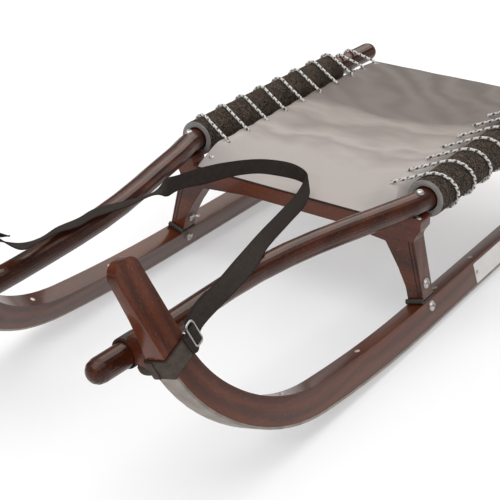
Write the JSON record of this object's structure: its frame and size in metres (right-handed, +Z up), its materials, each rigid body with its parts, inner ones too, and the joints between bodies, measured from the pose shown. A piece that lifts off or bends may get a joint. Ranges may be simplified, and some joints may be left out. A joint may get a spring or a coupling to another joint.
{
  "type": "sport luge",
  "caption": "Low wooden sport luge with leaning horned runners, arched bridges, round spars in foam sleeves, a laced seat sheet and a webbing steering strap.",
  "frame": {"origin": "on the ground, in the middle of the luge's length and width", "axes": "+Y towards the back of the seat, so the horns point to -Y; +X to the rider's left; +Z up"},
  "size_m": [0.4514, 1.0935, 0.3],
  "materials": {
    "lacquered_wood": "gloss lacquer over dark stain",
    "rail_steel": "worn bright",
    "pad_rubber": "matt",
    "sleeve_foam": "coarse skin on foam",
    "sheet_cloth": "coated cloth with soft tonal bands",
    "lace_cord": "braided cord with dark flecks",
    "strap_web": "woven webbing"
  },
  "bodies": {
    "root": {"runner_left": "lacquered_wood", "runner_right": "lacquered_wood", "rail_left": "rail_steel", "rail_right": "rail_steel", "arch_front": "lacquered_wood", "arch_rear": "lacquered_wood", "pad_front_left": "pad_rubber", "pad_front_right": "pad_rubber", "pad_rear_left": "pad_rubber", "pad_rear_right": "pad_rubber", "spar_left": "lacquered_wood", "spar_right": "lacquered_wood", "sleeve_left": "sleeve_foam", "sleeve_right": "sleeve_foam", "horn_block_left": "lacquered_wood", "horn_block_right": "lacquered_wood", "seat_sheet": "sheet_cloth", "lacing_left": "lace_cord", "lacing_right": "lace_cord", "horn_band_left": "strap_web", "horn_band_right": "strap_web", "spar_band_left": "strap_web", "spar_band_right": "strap_web", "steering_strap": "strap_web"}
  },
  "joints": []
}
